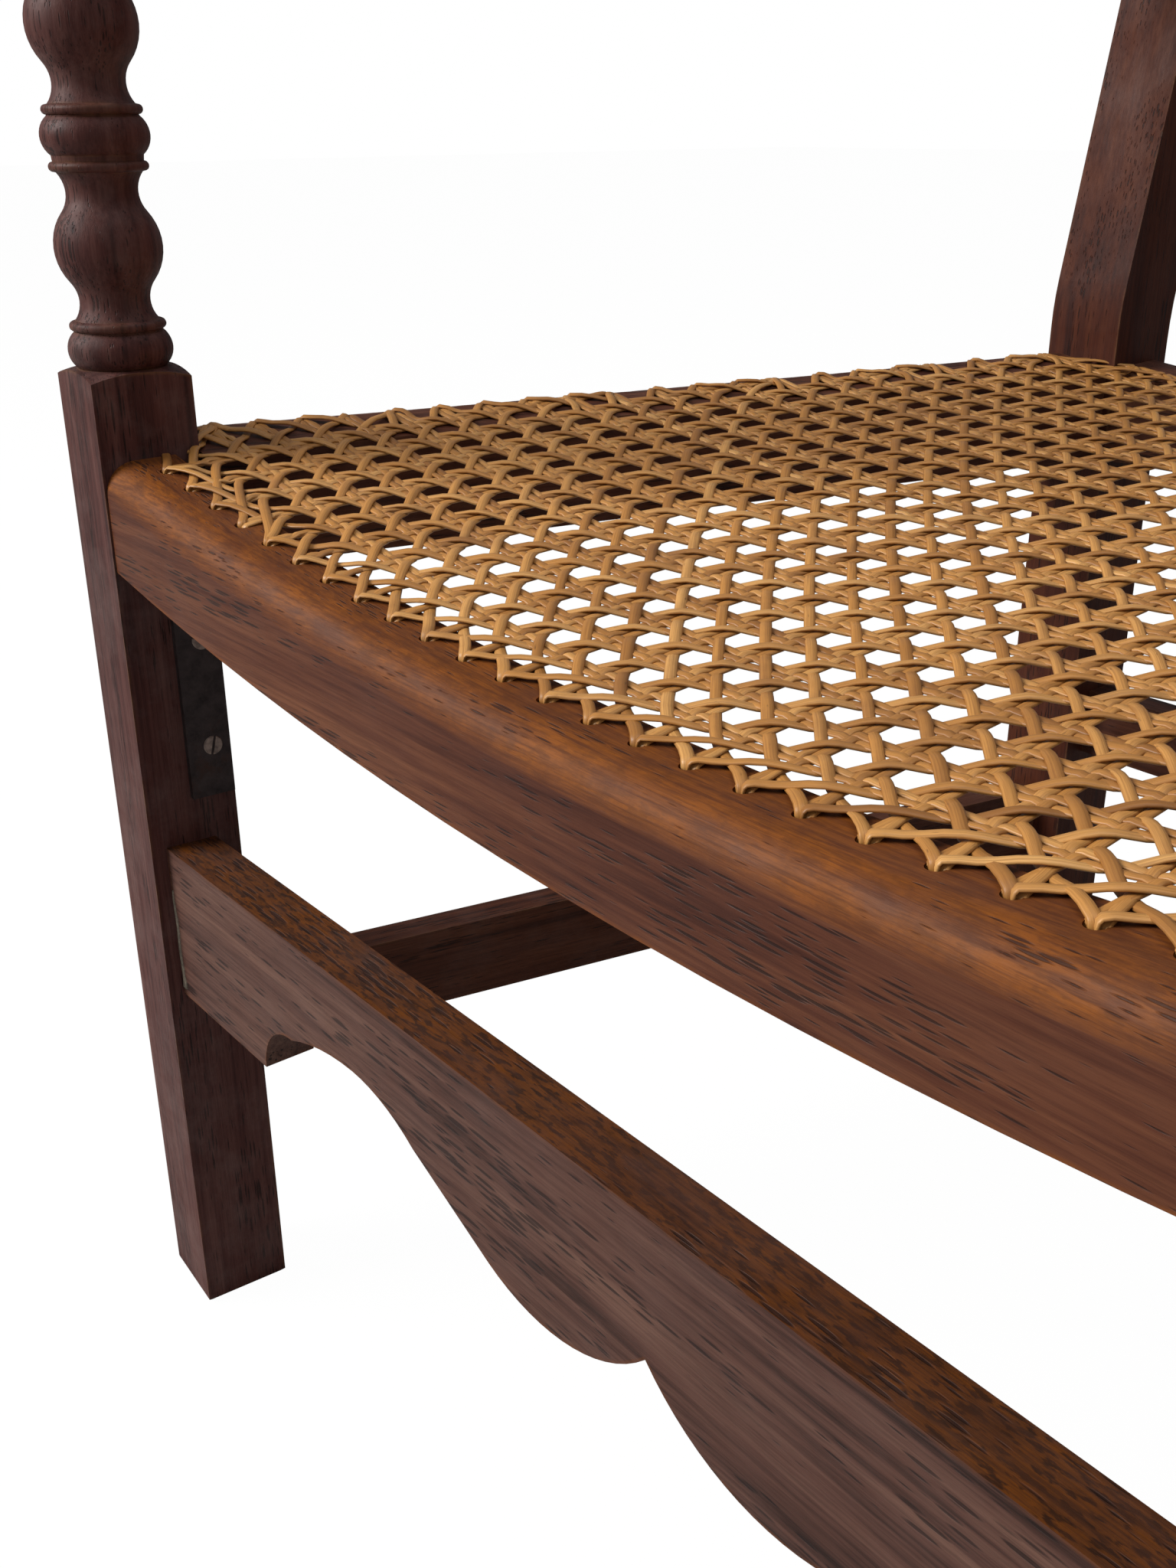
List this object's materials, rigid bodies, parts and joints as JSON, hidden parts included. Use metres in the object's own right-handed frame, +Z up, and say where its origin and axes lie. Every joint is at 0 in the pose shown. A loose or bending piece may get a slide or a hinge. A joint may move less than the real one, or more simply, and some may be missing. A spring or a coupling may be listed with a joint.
{
  "type": "cane seat armchair",
  "caption": "Open armchair in dark oak: turned arm supports, a dished woven cane seat, a shaped front stretcher and a leaning back with a caned panel.",
  "frame": {"origin": "middle of the bounding box's base: on the floor under the middle of the chair", "axes": "+Z up, -Y the way the sitter faces, +X to the right as seen from the front"},
  "size_m": [0.696, 0.6457, 1.0027],
  "materials": {
    "oak": "dark stain, waxed, worn to orange brown on the edges",
    "cane": "glossy rattan peel, aged",
    "iron": "black, rough",
    "screw": "darkened steel"
  },
  "bodies": {
    "root": {"front_seat_rail": "oak", "side_seat_rail_left": "oak", "side_seat_rail_right": "oak", "back_seat_rail": "oak", "front_stretcher": "oak", "side_stretcher_left": "oak", "side_stretcher_right": "oak", "back_stretcher": "oak", "back_upright_left": "oak", "back_upright_right": "oak", "crest_rail": "oak", "lower_back_rail": "oak", "bracket_screws": "screw", "corner_bracket_left": "iron", "corner_bracket_right": "iron", "arm_left": "oak", "arm_right": "oak", "front_leg_left": "oak", "front_leg_right": "oak", "back_leg_left": "oak", "back_leg_right": "oak", "cane_seat": "cane", "cane_back": "cane"}
  },
  "joints": []
}
